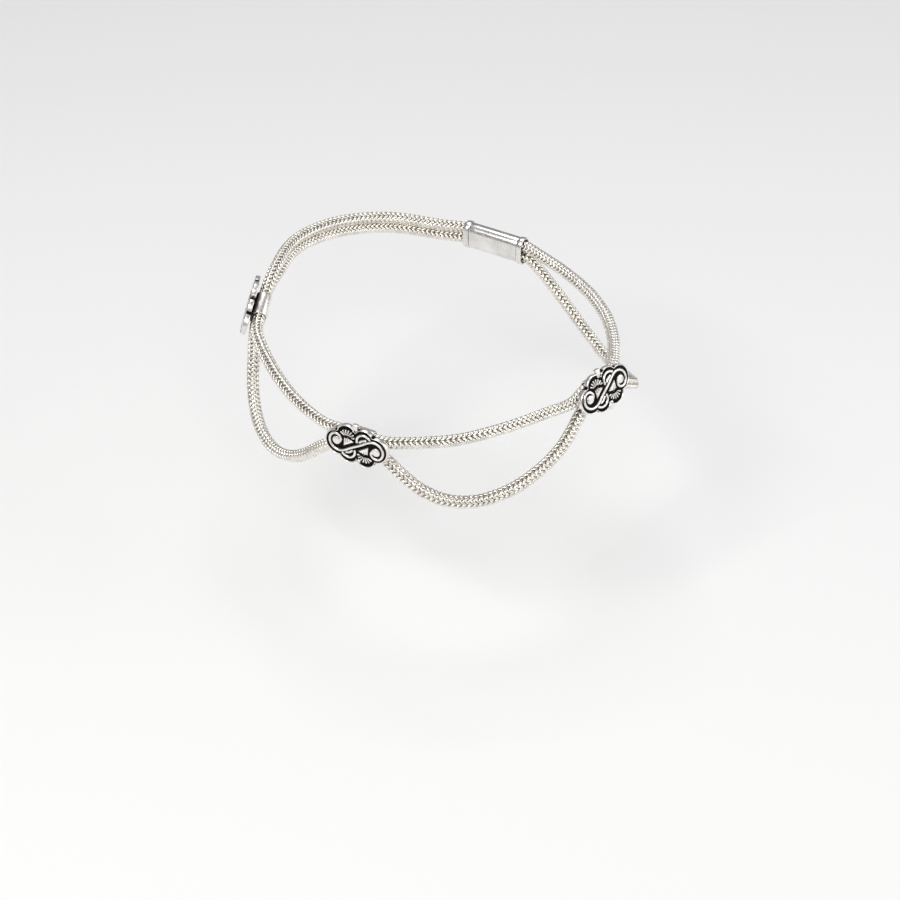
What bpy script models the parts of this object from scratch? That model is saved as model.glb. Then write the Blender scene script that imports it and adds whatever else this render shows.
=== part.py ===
"""A worn anklet of two knitted silver cords, three cast sliders and a plain clasp.

Metres, +Z up and -Y to the front. The origin is in the middle of the loop's hole, level
with the upper cord. Both cords run side by side through the short tunnel behind each
slider. The upper cord lies close round the loop and the lower one hangs from slider to
slider in swags. Lengths below are in millimetres, angles in degrees.
"""

import math

import bmesh
import bpy
from mathutils import Matrix, Vector

MM = 0.001

# The oval that the cords follow, squarer than an ellipse. Below the cords it spreads
# to the front. Its widest place lies this far from the origin.
WIDEST_Y = -4.6
FRONT_HALF, FRONT_SLOPE, FRONT_SPREAD = 35.3, -0.41, 0.032
BACK_HALF = 43.9
SIDE_HALF, SIDE_SLOPE = 34.0, -0.128
SQUARENESS = 2.2

# Cords
CORD_RADIUS = 1.15
CORD_SIDES_LEVEL = 2
LONGEST_STEP = 5.0
CORD_APART = 1.3  # half the distance between the two cords' middles

# Tunnel behind a slider, a flattened tube that both cords fill
TUNNEL_LENGTH = 5.2
TUNNEL_BORE = 1.35
TUNNEL_WALL = 0.4
BORE_STEPS = 20

# Cast plate of a slider, measured from the cords' plane outwards
PLATE_BACK = 1.9
CHANNEL_FLOOR = 2.5
RELIEF_TOP = 2.95
PLATE_RAISE = 0.3  # how far the plate sits above the tunnel's middle
NECK_SIZE = (4.0, 2.2, 0.7)  # what holds the plate clear of the tunnel
RIM_INNER, RIM_OUTER = 0.21, 0.55  # from the channel that follows the outline
TAB_SIZE = (1.25, 1.85)
TAB_MIDDLE = (-0.48, 3.93)
DISC_STEPS = 40

# Half of the plate's outline, as discs: middle x, middle y, radius of the channel.
# The other half is the same turned through half a turn.
VOLUTE_DISC = (-4.3, -0.38, 2.37)
SHELL_DISC = (-2.2, 1.9, 1.9)
WAVE_DISC = (1.65, 1.9, 1.9)

# The S band from the middle of the plate to the inner end of its right volute.
BAND_HALF = (
    (0.0, 0.0), (1.2, 0.75), (2.4, 1.6), (3.4, 2.1), (4.4, 2.15), (5.3, 1.75),
    (5.9, 1.0), (6.1, 0.1), (5.85, -0.85), (5.2, -1.45), (4.4, -1.55), (3.75, -1.15),
    (3.5, -0.5), (3.7, 0.05),
)
BAND_RADIUS = 0.3
BOSS = (4.5, 0.06, 1.0, 1.0)  # volute boss: middle x, middle y, half width, half height

# The wave lobe at the upper right: an arc round a leaf.
WAVE_ARC = ((0.2, 1.2), (0.25, 2.0), (0.75, 2.75), (1.55, 3.1), (2.4, 2.95), (2.95, 2.6))
WAVE_LEAF = ((0.9, 1.4), (1.35, 1.8), (2.05, 2.1))

# The shell lobe at the upper left: a fan of ribs round a petal.
RIB_CENTRE = (-2.1, 1.1)
RIB_INNER, RIB_OUTER = 0.95, 2.05
RIB_BEARINGS = (145, 123, 101, 79, 57, 35, 13)
SHELL_PETAL = ((-2.55, -0.35), (-2.2, 0.45), (-1.5, 0.65))

# Sliders and clasp. bearing: round the oval's widest place, 270 to the front.
# height, clear: of the cords' plane, clear of the oval. facing, lean: the plate's
# outward direction. roll: of its long axis out of level.
SLIDERS = {
    "slider_left": dict(bearing=128.5, height=2.9, clear=0.2, facing=138.5, lean=17.7, roll=-29),
    "slider_front": dict(bearing=206, height=-1.5, clear=2.0, facing=204, lean=3.6, roll=-1.7),
    "slider_right": dict(bearing=289.4, height=2.0, clear=2.4, facing=274.2, lean=19.5, roll=5.4),
}
CLASP = dict(bearing=34.0, height=2.8, clear=1.9, facing=20.3, lean=0, roll=0)
CLASP_LENGTH = 15.0
CLASP_POCKET = 3.6
CLASP_COLLAR = (1.2, 0.25)  # length along the clasp, height above its body
CORD_IN_POCKET = 3.0
MOUTH_STRAIGHT = 0.7  # a cord stays straight this far past a tunnel's mouth

# Free stretches of the cords: bearing, height, clearance of the cord's middle.
UPPER_ROUTE = {
    ("clasp", "slider_left"): (
        (52.0, 4.2, 2.0), (68.0, 5.9, 1.6), (84.0, 7.4, 1.0), (100.0, 8.3, -0.1),
        (115.0, 8.3, -1.7),
    ),
    ("slider_left", "slider_front"): (
        (139.5, 2.0, 1.6), (147.5, 1.0, 1.5), (156.0, 0.3, 1.5), (164.0, -0.6, 1.5),
        (172.5, -1.4, 1.5), (182.0, -1.7, 1.6), (190.5, -1.5, 1.9), (197.0, -0.8, 2.1),
    ),
    ("slider_front", "slider_right"): (
        (215.5, -0.2, 2.1), (223.0, 0.3, 1.6), (236.5, 1.2, 1.5), (251.0, 2.2, 1.5),
        (267.0, 2.4, 1.5), (278.5, 2.1, 1.8),
    ),
    ("slider_right", "clasp"): (
        (300.5, 3.6, 2.7), (309.0, 3.2, 1.6), (319.0, 3.0, 1.0), (332.0, 3.0, 0.9),
        (347.0, 3.3, 1.2), (2.5, 3.7, 1.7), (17.0, 4.0, 2.3),
    ),
}
LOWER_ROUTE = {
    ("clasp", "slider_left"): (
        (52.0, 1.6, 2.0), (68.0, 3.3, 1.6), (84.0, 4.8, 1.0), (100.0, 5.7, -0.1),
        (114.0, 5.5, -1.5),
    ),
    ("slider_left", "slider_front"): (
        (132.1, -2.5, 1.4), (132.8, -7.5, 1.4), (136.5, -12.0, 1.5), (142.0, -14.8, 1.5),
        (148.5, -16.7, 1.5), (155.5, -17.6, 1.5), (162.5, -17.5, 1.5), (169.5, -16.4, 1.5),
        (176.0, -14.4, 1.5), (182.0, -11.6, 1.5), (188.0, -8.1, 1.6), (194.0, -5.0, 1.9),
    ),
    ("slider_front", "slider_right"): (
        (214.5, -3.8, 2.2), (219.0, -6.1, 1.8), (225.5, -8.7, 1.5), (232.5, -10.0, 1.5),
        (240.5, -10.0, 1.5), (250.5, -8.7, 1.5), (260.5, -6.8, 1.5), (268.8, -4.9, 1.6),
        (274.6, -3.0, 1.7), (279.0, -1.3, 1.8),
    ),
    ("slider_right", "clasp"): (
        (302.0, -1.0, 3.8), (307.0, -3.2, 3.5), (313.0, -6.1, 2.8), (319.0, -8.6, 2.0),
        (326.0, -10.8, 1.5), (334.0, -12.0, 1.4), (343.5, -11.5, 1.4), (354.0, -8.8, 1.5),
        (5.0, -4.8, 1.8), (16.5, -0.5, 2.4),
    ),
}


def oval_radius(bearing, height):
    """Distance of the oval from its widest place."""
    angle = math.radians(bearing)
    forward, sideways = -math.sin(angle), math.cos(angle)
    if forward > 0:
        half = FRONT_HALF + FRONT_SLOPE * height + FRONT_SPREAD * height * height
    else:
        half = BACK_HALF
    side = SIDE_HALF + SIDE_SLOPE * height
    power = SQUARENESS
    return (abs(forward / half) ** power + abs(sideways / side) ** power) ** (-1 / power)


def oval_point(bearing, height, clear):
    angle = math.radians(bearing)
    reach = oval_radius(bearing, height) + clear
    return Vector((reach * math.cos(angle), WIDEST_Y + reach * math.sin(angle), height)) * MM


def pose_matrix(pose):
    """Local x along the cords, y across them and z outwards."""
    facing, lean, roll = (math.radians(pose[key]) for key in ("facing", "lean", "roll"))
    outward = Vector((
        math.cos(lean) * math.cos(facing), math.cos(lean) * math.sin(facing), math.sin(lean)
    ))
    level = Vector((-math.sin(facing), math.cos(facing), 0.0))
    along = math.cos(roll) * level + math.sin(roll) * outward.cross(level)
    turn = Matrix((along, outward.cross(along), outward)).transposed().to_4x4()
    return Matrix.Translation(oval_point(pose["bearing"], pose["height"], pose["clear"])) @ turn


def material(name, color, roughness):
    """Polished or darkened silver."""
    made = bpy.data.materials.new(name)
    made.use_nodes = True
    shader = made.node_tree.nodes["Principled BSDF"]
    shader.inputs["Base Color"].default_value = (*color, 1.0)
    shader.inputs["Metallic"].default_value = 1.0
    shader.inputs["Roughness"].default_value = roughness
    return made


def collection(name):
    made = bpy.data.collections.new(name)
    bpy.context.scene.collection.children.link(made)
    return made


def add_object(name, data, place, into):
    made = bpy.data.objects.new(name, data)
    made.matrix_world = place
    into.objects.link(made)
    return made


def box(middle, size):
    """A mesh box, both given in millimetres."""
    shape = bmesh.new()
    bmesh.ops.create_cube(shape, size=1.0)
    bmesh.ops.scale(shape, vec=Vector(size) * MM, verts=shape.verts)
    bmesh.ops.translate(shape, vec=Vector(middle) * MM, verts=shape.verts)
    return finished_mesh(shape)


def disc(middle, radius, low, high, steps=DISC_STEPS):
    """An upright cylinder from low to high."""
    shape = bmesh.new()
    bmesh.ops.create_cone(
        shape, cap_ends=True, segments=steps, radius1=radius * MM, radius2=radius * MM,
        depth=(high - low) * MM,
    )
    place = Vector((middle[0], middle[1], (low + high) / 2)) * MM
    bmesh.ops.translate(shape, vec=place, verts=shape.verts)
    return finished_mesh(shape)


def rod(side, radius, length):
    """A cylinder along x whose axis lies at y = side."""
    shape = bmesh.new()
    bmesh.ops.create_cone(
        shape, cap_ends=True, segments=BORE_STEPS, radius1=radius * MM, radius2=radius * MM,
        depth=length * MM,
    )
    bmesh.ops.rotate(shape, matrix=Matrix.Rotation(math.pi / 2, 3, "Y"), verts=shape.verts)
    bmesh.ops.translate(shape, vec=(0.0, side * MM, 0.0), verts=shape.verts)
    return finished_mesh(shape)


def dome(middle, halves):
    """A flattened ball."""
    shape = bmesh.new()
    bmesh.ops.create_uvsphere(shape, u_segments=16, v_segments=8, radius=MM)
    bmesh.ops.scale(shape, vec=halves, verts=shape.verts)
    bmesh.ops.translate(shape, vec=Vector(middle) * MM, verts=shape.verts)
    return finished_mesh(shape)


def finished_mesh(shape):
    mesh = bpy.data.meshes.new("shape")
    bmesh.ops.recalc_face_normals(shape, faces=shape.faces)
    shape.to_mesh(mesh)
    shape.free()
    return mesh


def smooth_points(points, longest):
    """A Catmull-Rom curve through the points, cut where a step would exceed longest."""
    ends = [2 * points[0] - points[1], *points, 2 * points[-1] - points[-2]]
    curve = [points[0]]
    for before, start, stop, after in zip(ends, ends[1:], ends[2:], ends[3:]):
        # Chords' square roots space the curve's parameter, so that it can't loop.
        gaps = [math.sqrt((b - a).length) for a, b in
                ((before, start), (start, stop), (stop, after))]
        leave = ((start - before) / gaps[0] - (stop - before) / (gaps[0] + gaps[1])
                 + (stop - start) / gaps[1]) * gaps[1]
        arrive = ((stop - start) / gaps[1] - (after - start) / (gaps[1] + gaps[2])
                  + (after - stop) / gaps[2]) * gaps[1]
        pieces = max(1, math.ceil((stop - start).length / longest))
        for index in range(1, pieces + 1):
            t = index / pieces
            curve.append(
                (2 * t**3 - 3 * t**2 + 1) * start + (t**3 - 2 * t**2 + t) * leave
                + (3 * t**2 - 2 * t**3) * stop + (t**3 - t**2) * arrive
            )
    return curve


def tube(name, points, radius, level, place, into):
    """A round tube along points, as a curve object with filled caps."""
    curve = bpy.data.curves.new(name, "CURVE")
    curve.dimensions = "3D"
    curve.bevel_depth = radius
    curve.bevel_resolution = level
    curve.use_fill_caps = True
    line = curve.splines.new("POLY")
    line.points.add(len(points) - 1)
    for point, at in zip(line.points, points):
        point.co = (*at, 1.0)
    return add_object(name, curve, place, into)


def bead_mesh(outline, radius, longest=0.5):
    """A tube along a line on the channels' floor, as a closed mesh."""
    points = [Vector((x, y, CHANNEL_FLOOR + 0.1)) * MM for x, y in outline]
    scratch = bpy.context.scene.collection
    drawn = tube("bead", smooth_points(points, longest * MM), radius * MM, 1,
                 Matrix.Identity(4), scratch)
    bpy.context.view_layer.update()
    evaluated = drawn.evaluated_get(bpy.context.evaluated_depsgraph_get())
    mesh = bpy.data.meshes.new_from_object(evaluated)
    bpy.data.objects.remove(drawn)
    shape = bmesh.new()
    shape.from_mesh(mesh)
    bmesh.ops.remove_doubles(shape, verts=shape.verts, dist=1e-6)
    bpy.data.meshes.remove(mesh)
    return finished_mesh(shape)


def half_turn(mesh):
    """A copy of the mesh, turned through half a turn about z."""
    turned = mesh.copy()
    turned.transform(Matrix.Rotation(math.pi, 4, "Z"))
    return turned


def with_twins(meshes):
    return [twin for mesh in meshes for twin in (mesh, half_turn(mesh))]


def combined(base, steps):
    """The mesh that base becomes by Boolean steps, each an operation and a mesh."""
    helpers = collection("cutters")
    body = add_object("body", base, Matrix.Identity(4), helpers)
    for index, (operation, mesh) in enumerate(steps):
        other = add_object(f"helper_{index}", mesh, Matrix.Identity(4), helpers)
        other.display_type = "WIRE"
        other.hide_render = True
        step = body.modifiers.new(f"step_{index}", "BOOLEAN")
        step.operation = operation
        step.object = other
    bpy.context.view_layer.update()
    evaluated = body.evaluated_get(bpy.context.evaluated_depsgraph_get())
    result = bpy.data.meshes.new_from_object(evaluated)
    for made in list(helpers.objects):
        bpy.data.objects.remove(made)
    bpy.data.collections.remove(helpers)
    return result


def outline_discs(extra, low, high):
    """The plate's outline as six discs, each this much wider than its channel."""
    half = [disc((x, y), radius + extra, low, high)
            for x, y, radius in (VOLUTE_DISC, SHELL_DISC, WAVE_DISC)]
    return with_twins(half)


def rim_mesh():
    """The raised rim, which follows the outline."""
    outer = outline_discs(RIM_OUTER, CHANNEL_FLOOR - 0.1, RELIEF_TOP)
    inner = outline_discs(RIM_INNER, CHANNEL_FLOOR - 0.3, RELIEF_TOP + 0.2)
    return combined(outer[0], [("UNION", mesh) for mesh in outer[1:]]
                    + [("DIFFERENCE", mesh) for mesh in inner])


def shell_ribs():
    """The fan of ribs in a shell lobe."""
    ribs = []
    for bearing in RIB_BEARINGS:
        angle = math.radians(bearing)
        ends = [
            (RIB_CENTRE[0] + reach * math.cos(angle), RIB_CENTRE[1] + reach * math.sin(angle))
            for reach in (RIB_INNER, RIB_OUTER)
        ]
        ribs.append(bead_mesh(ends, 0.2, longest=2.0))
    return ribs


def relief_meshes():
    """What stands up inside the rim: the S band, bosses, waves and shells."""
    left_half = [(-x, -y) for x, y in reversed(BAND_HALF[1:])]
    band = bead_mesh(left_half + list(BAND_HALF), BAND_RADIUS)
    x, y, half_width, half_height = BOSS
    half = [
        dome((x, y, CHANNEL_FLOOR), (half_width, half_height, 0.4)),
        bead_mesh(WAVE_ARC, 0.28),
        bead_mesh(WAVE_LEAF, 0.27),
        bead_mesh(SHELL_PETAL, 0.42),
        *shell_ribs(),
    ]
    return [band] + with_twins(half)


def tunnel_shapes(radius, length):
    """A flattened rod, as three shapes that overlap."""
    slab = box((0, 0, 0), (length, 2 * CORD_APART, 2 * radius))
    return [slab, rod(CORD_APART, radius, length), rod(-CORD_APART, radius, length)]


def slider_mesh():
    """Plate, relief and tunnel, cast as one."""
    plate = outline_discs(RIM_OUTER, PLATE_BACK, CHANNEL_FLOOR)
    tab = box((*TAB_MIDDLE, (PLATE_BACK + RELIEF_TOP) / 2),
              (*TAB_SIZE, RELIEF_TOP - PLATE_BACK))
    front = plate + with_twins([tab]) + [rim_mesh(), *relief_meshes()]
    for mesh in front:
        mesh.transform(Matrix.Translation((0.0, PLATE_RAISE * MM, 0.0)))
    neck = box((0.0, 0.0, PLATE_BACK + 0.1 - NECK_SIZE[2] / 2), NECK_SIZE)
    added = front[1:] + tunnel_shapes(TUNNEL_BORE + TUNNEL_WALL, TUNNEL_LENGTH) + [neck]
    bores = tunnel_shapes(TUNNEL_BORE, TUNNEL_LENGTH + 1.0)
    return combined(front[0], [("UNION", mesh) for mesh in added]
                    + [("DIFFERENCE", mesh) for mesh in bores])


def clasp_mesh():
    """A flattened barrel with a collar and a pocket for both cords at each end."""
    body = tunnel_shapes(TUNNEL_BORE + TUNNEL_WALL, CLASP_LENGTH)
    collar_length, collar_height = CLASP_COLLAR
    collars, pockets = [], []
    for end in (-1, 1):
        for mesh in tunnel_shapes(TUNNEL_BORE + TUNNEL_WALL + collar_height, collar_length):
            mesh.transform(Matrix.Translation(
                (end * (CLASP_LENGTH - collar_length) / 2 * MM, 0.0, 0.0)))
            collars.append(mesh)
        for mesh in tunnel_shapes(TUNNEL_BORE, 2 * CLASP_POCKET):
            mesh.transform(Matrix.Translation((end * CLASP_LENGTH / 2 * MM, 0.0, 0.0)))
            pockets.append(mesh)
    return combined(body[0], [("UNION", mesh) for mesh in body[1:] + collars]
                    + [("DIFFERENCE", mesh) for mesh in pockets])


def cord_route(routes, side):
    """Every point of a cord from one pocket of the clasp round to the other."""
    offset = side * CORD_APART
    poses = {"clasp": CLASP, **SLIDERS}
    straight = TUNNEL_LENGTH / 2 + MOUTH_STRAIGHT
    clasp_end = CLASP_LENGTH / 2
    points = []
    for (start, stop), rows in routes.items():
        if start == "clasp":
            leave = (clasp_end - CORD_IN_POCKET, clasp_end, clasp_end + MOUTH_STRAIGHT)
        else:
            leave = (0.0, straight)
        arrive = (-straight,)
        if stop == "clasp":
            arrive = (-clasp_end - MOUTH_STRAIGHT, -clasp_end, CORD_IN_POCKET - clasp_end)
        for name, places in ((start, leave), (None, rows), (stop, arrive)):
            if name is None:
                points += [oval_point(*row) for row in places]
            else:
                pose = pose_matrix(poses[name])
                points += [pose @ (Vector((x, offset, 0.0)) * MM) for x in places]
    return smooth_points(points, LONGEST_STEP * MM)


def build():
    for old in list(bpy.data.objects):
        bpy.data.objects.remove(old)
    anklet = collection("anklet")
    bright = material("knitted_silver", (0.80, 0.78, 0.74), 0.32)
    cast = material("cast_silver", (0.62, 0.60, 0.57), 0.38)
    plain = material("plain_silver", (0.82, 0.81, 0.78), 0.22)

    for name, routes, side in (
        ("upper_cord", UPPER_ROUTE, 1), ("lower_cord", LOWER_ROUTE, -1),
    ):
        cord = tube(name, cord_route(routes, side), CORD_RADIUS * MM, CORD_SIDES_LEVEL,
                    Matrix.Identity(4), anklet)
        cord.data.materials.append(bright)

    plate = slider_mesh()
    plate.materials.append(cast)
    for name, pose in SLIDERS.items():
        add_object(name, plate, pose_matrix(pose), anklet)

    barrel = clasp_mesh()
    barrel.materials.append(plain)
    add_object("clasp", barrel, pose_matrix(CLASP), anklet)
    for mesh in (plate, barrel):
        mesh.shade_smooth()
        mesh.set_sharp_from_angle(angle=math.radians(35))


build()
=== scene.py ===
"""Finishes, knitted cords, cast sliders, clasp, floor, light and camera of a silver anklet.

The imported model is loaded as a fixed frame, in metres, with +Z up and -Y to the front.
Each operator builds one kind of piece in that frame. Lengths in the tables below are in
millimetres and angles in degrees.
"""

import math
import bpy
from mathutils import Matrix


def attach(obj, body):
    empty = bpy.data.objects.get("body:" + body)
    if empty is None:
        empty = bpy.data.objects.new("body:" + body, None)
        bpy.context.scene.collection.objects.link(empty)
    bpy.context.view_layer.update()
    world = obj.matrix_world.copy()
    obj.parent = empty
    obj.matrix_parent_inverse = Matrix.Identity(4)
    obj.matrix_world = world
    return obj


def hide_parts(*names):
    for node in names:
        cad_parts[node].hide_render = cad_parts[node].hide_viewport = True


bl_info = {
    "name": "Scroll Slider Anklet",
    "version": (1, 0, 0),
    "blender": (4, 5, 0),
    "location": "View3D > Sidebar > Anklet",
    "description": "Builds the looks of a silver anklet around its packed frame",
    "category": "Add Mesh",
}

import bmesh
import bpy
import numpy as np
from mathutils import Matrix, Vector

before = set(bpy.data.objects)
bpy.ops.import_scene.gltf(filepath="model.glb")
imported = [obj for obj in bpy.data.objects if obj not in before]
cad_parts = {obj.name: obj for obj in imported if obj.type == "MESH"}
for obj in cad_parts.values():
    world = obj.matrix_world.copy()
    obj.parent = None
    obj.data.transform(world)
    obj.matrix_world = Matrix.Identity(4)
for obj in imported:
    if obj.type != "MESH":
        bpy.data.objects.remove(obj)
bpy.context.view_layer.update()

MM = 0.001
CURVE_STEP = 0.25  # longest step along a smooth line
WELD = 0.006  # points of a shape that lie nearer than this are joined

# The oval that the cords follow, squarer than an ellipse. It is widest at WIDEST_Y, from
# which its bearings are counted, and its front half spreads below the cords.
WIDEST_Y = -4.6
FRONT_HALF, FRONT_SLOPE, FRONT_SPREAD = 35.3, -0.41, 0.032
BACK_HALF = 43.9
SIDE_HALF, SIDE_SLOPE = 34.0, -0.128
SQUARENESS = 2.2

# Tunnels, clasp and the straight ends of the cords
CORD_APART = 1.3  # half the distance between the two cords' middles
TUNNEL_LENGTH, TUNNEL_BORE, TUNNEL_WALL = 5.2, 1.35, 0.4  # the bore is a radius
CLASP_LENGTH, CLASP_POCKET = 15.0, 3.6
CORD_IN_POCKET = 3.0
MOUTH_STRAIGHT = 0.7
HALF_CIRCLE_POINTS = 25
MOUTH_POINTS = 9  # over half the round of a tunnel's wall

# Poses of the sliders and the clasp. bearing: round the oval's widest place, 270 to the
# front. height, clear: of the cords' plane, clear of the oval. facing, lean: the outward
# direction. roll: of the long axis out of level.
SLIDERS = {
    "slider_left": dict(bearing=128.5, height=2.9, clear=0.2, facing=138.5, lean=17.7, roll=-29),
    "slider_front": dict(bearing=206, height=-1.5, clear=2.0, facing=204, lean=3.6, roll=-1.7),
    "slider_right": dict(bearing=289.4, height=2.0, clear=2.4, facing=274.2, lean=19.5, roll=5.4),
}
CLASP = dict(bearing=34.0, height=2.8, clear=1.9, facing=20.3, lean=0, roll=0)

# Free stretches of the cords: bearing, height, clearance of the cord's middle.
UPPER_ROUTE = {
    ("clasp", "slider_left"): (
        (52.0, 4.2, 2.0), (68.0, 5.9, 1.6), (84.0, 7.4, 1.0), (100.0, 8.3, -0.1),
        (115.0, 8.3, -1.7),
    ),
    ("slider_left", "slider_front"): (
        (139.5, 2.0, 1.6), (147.5, 1.0, 1.5), (156.0, 0.3, 1.5), (164.0, -0.6, 1.5),
        (172.5, -1.4, 1.5), (182.0, -1.7, 1.6), (190.5, -1.5, 1.9), (197.0, -0.8, 2.1),
    ),
    ("slider_front", "slider_right"): (
        (215.5, -0.2, 2.1), (223.0, 0.3, 1.6), (236.5, 1.2, 1.5), (251.0, 2.2, 1.5),
        (267.0, 2.4, 1.5), (278.5, 2.1, 1.8),
    ),
    ("slider_right", "clasp"): (
        (300.5, 3.6, 2.7), (309.0, 3.2, 1.6), (319.0, 3.0, 1.0), (332.0, 3.0, 0.9),
        (347.0, 3.3, 1.2), (2.5, 3.7, 1.7), (17.0, 4.0, 2.3),
    ),
}
LOWER_ROUTE = {
    ("clasp", "slider_left"): (
        (52.0, 1.6, 2.0), (68.0, 3.3, 1.6), (84.0, 4.8, 1.0), (100.0, 5.7, -0.1),
        (114.0, 5.5, -1.5),
    ),
    ("slider_left", "slider_front"): (
        (132.1, -2.5, 1.4), (132.8, -7.5, 1.4), (136.5, -12.0, 1.5), (142.0, -14.8, 1.5),
        (148.5, -16.7, 1.5), (155.5, -17.6, 1.5), (162.5, -17.5, 1.5), (169.5, -16.4, 1.5),
        (176.0, -14.4, 1.5), (182.0, -11.6, 1.5), (188.0, -8.1, 1.6), (194.0, -5.0, 1.9),
    ),
    ("slider_front", "slider_right"): (
        (214.5, -3.8, 2.2), (219.0, -6.1, 1.8), (225.5, -8.7, 1.5), (232.5, -10.0, 1.5),
        (240.5, -10.0, 1.5), (250.5, -8.7, 1.5), (260.5, -6.8, 1.5), (268.8, -4.9, 1.6),
        (274.6, -3.0, 1.7), (279.0, -1.3, 1.8),
    ),
    ("slider_right", "clasp"): (
        (302.0, -1.0, 3.8), (307.0, -3.2, 3.5), (313.0, -6.1, 2.8), (319.0, -8.6, 2.0),
        (326.0, -10.8, 1.5), (334.0, -12.0, 1.4), (343.5, -11.5, 1.4), (354.0, -8.8, 1.5),
        (5.0, -4.8, 1.8), (16.5, -0.5, 2.4),
    ),
}

# How far each cord is turned about its own line, by share of its length. At 0 the middle of
# one knitted face looks outwards, at 45 a corner does.
UPPER_TURN = ((0.0, 35.0), (0.25, 38.0), (0.42, 45.0), (0.46, 52.0), (0.52, 54.0), (0.70, 36.0),
              (0.76, 46.0), (0.84, 62.0), (1.0, 62.0))
LOWER_TURN = ((0.0, 45.0), (0.25, 45.0), (0.45, 40.0), (0.50, 15.0), (0.56, 0.0), (0.72, 0.0),
              (1.0, 30.0))

# One knitted loop, from its tip to the end of one leg: across the face, along the cord, out
# from the cord's middle. The tip rises from under the loop before it, and each leg turns
# round the cord's corner and dives inside. The other leg mirrors it.
LOOP_LEG = (
    (0.0, -0.42, 0.71), (0.13, -0.14, 0.86), (0.38, 0.26, 0.90), (0.64, 0.58, 0.86),
    (0.84, 0.78, 0.66), (0.86, 0.84, 0.36),
)
WIRE_SIDES = 6
CORE_RADIUS, CORE_STEP, CORE_SIDES = 0.74, 0.6, 8
# Distance from a cord's middle where the height for the painted shade between the wires is 0, and
# how much further it is 1
KNIT_DEEP, KNIT_RISE = 0.62, 0.5

# Relief of a plate, with x along the cords, y up and z out of the cords' plane. Every
# figure is repeated by half a turn about the plate's middle. A disc is x, y and radius, a
# half is half the width of a ridge, and a top is a share of RELIEF.
PLATE_BACK, CHANNEL_FLOOR, RELIEF = 1.9, 2.6, 0.34
PLATE_RAISE = 0.3  # how far the plate sits above the tunnel's middle
PLATE_SIDE = (  # from the rim to the back's middle: share of the outline, level over the back
    (1.0, 0.4), (1.0, 0.15), (0.995, 0.05), (0.98, 0.0), (0.7, 0.0), (0.35, 0.0), (0.0, 0.0),
)
NECK_SIZE = (4.0, 2.2, 0.7)  # what holds the plate clear of the tunnel
NECK_IN_PLATE, NECK_ROUNDING = 0.25, 0.1
OUTLINE_DISCS = ((-4.3, -0.38, 2.37), (-2.2, 1.9, 1.9), (1.65, 1.9, 1.9))
MIDDLE_DISC = 1.5
CHANNEL_HALF, RIM_WIDTH = 0.21, 0.34
RIM_INSIDE, RIM_OUTSIDE = 0.12, 0.2  # how wide the rim's two edges are rounded
SCROLL = (
    (0, 0), (1.2, 0.75), (2.4, 1.6), (3.4, 2.1), (4.4, 2.15), (5.3, 1.77), (5.95, 1.03),
    (6.14, 0.1), (5.88, -0.83), (5.25, -1.45), (4.45, -1.56), (3.8, -1.2), (3.5, -0.55),
    (3.72, 0.05),
)
SCROLL_HALF = 0.32
BOSS, BOSS_TOP = (4.55, 0.06, 1.0), 1.05
WAVE_ARC = ((0.18, 1.15), (0.2, 2.0), (0.72, 2.75), (1.55, 3.1), (2.4, 2.95), (3.0, 2.6))
WAVE_HALF = 0.3
WAVE_LEAF = ((0.85, 1.3), (1.3, 1.75), (2.1, 2.07))
LEAF_HALF, LEAF_TOP = 0.3, 0.95
# The shell is a fan of ribs round its heart. They widen outwards and have round ends.
SHELL_HEART = (-2.13, 1.42)
SHELL_REACH, SHELL_TOP = (0.3, 1.86), 0.95
SHELL_BEARINGS = (149, 126, 103, 80, 57, 34, 11)
RIB_HALF, RIB_SPREAD = 0.06, 0.105
RIB_ROUND, RIB_END = 0.2, 0.22  # where the end starts inside the reach, and its length
SHELL_GROOVE = (
    (-3.5, 1.6), (-2.8, 1.55), (-2.15, 1.7), (-1.55, 1.64), (-1.0, 1.35), (-0.6, 1.0),
)
GROOVE_HALF, GROOVE_EDGE = 0.17, 0.1
PETAL = ((-2.9, -0.9), (-2.9, 1.2), (-1.95, 1.36), (-1.1, 1.16), (-0.4, 0.78))
PETAL_EDGE, PETAL_CROWN, PETAL_TOP = 0.25, 0.6, 0.92
# The petal's veins: distance apart, share of it that each takes to either side, depth, the
# level that the first starts at, how much higher each next one starts, length of the fade
VEIN_APART, VEIN_HALF, VEIN_DEPTH = 0.5, 0.3, 0.5
VEIN_FOOT, VEIN_STEP, VEIN_FADE = -0.1, 0.3, 0.2
TAB_SIZE, TAB_MIDDLE = (1.25, 1.85), (-0.48, 3.93)
TAB_TOP, TAB_ROUNDING = 0.85, 0.25
DOME = (0.2, 0.24, 0.12)  # lift in the middle, fall at the ends, fall at top and bottom
PLATE_HALF = (7.2, 4.4)
SPOKES, RINGS, OUTLINE_POINTS = 600, 92, 20001

# Heights outside the relief, 0 where the dark colour stays and 1 where it is rubbed off. Oxide
# stays in the side's notches between two lobes, the side is darker beside each tab, and painted
# shade, mostly dark, lies on the back's middle and on the strip of the tunnel behind the plate.
NOTCH_DEEP, NOTCH_FADE = 0.15, 0.5
TAB_NOTCH, TAB_NOTCH_HALF, TAB_NOTCH_FADE = 0.5, 0.2, 0.25
SIDE_BAND = 0.12  # of the rim, counted with the side
BACK_PAINTED_SHADE_HALF, BACK_PAINTED_SHADE_FADE = 3.4, 2.0
TUNNEL_PAINTED_SHADE, TUNNEL_PAINTED_SHADE_FADE = 1.55, 0.4
SHADED_HEIGHT = 0.42
# The neck between tunnel and plate is painted shade, as dark as the oxide.
BACK_HEIGHT, TAB_HEIGHT, NECK_SHADE_HEIGHT = 0.9, 0.85, 0.1

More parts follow.
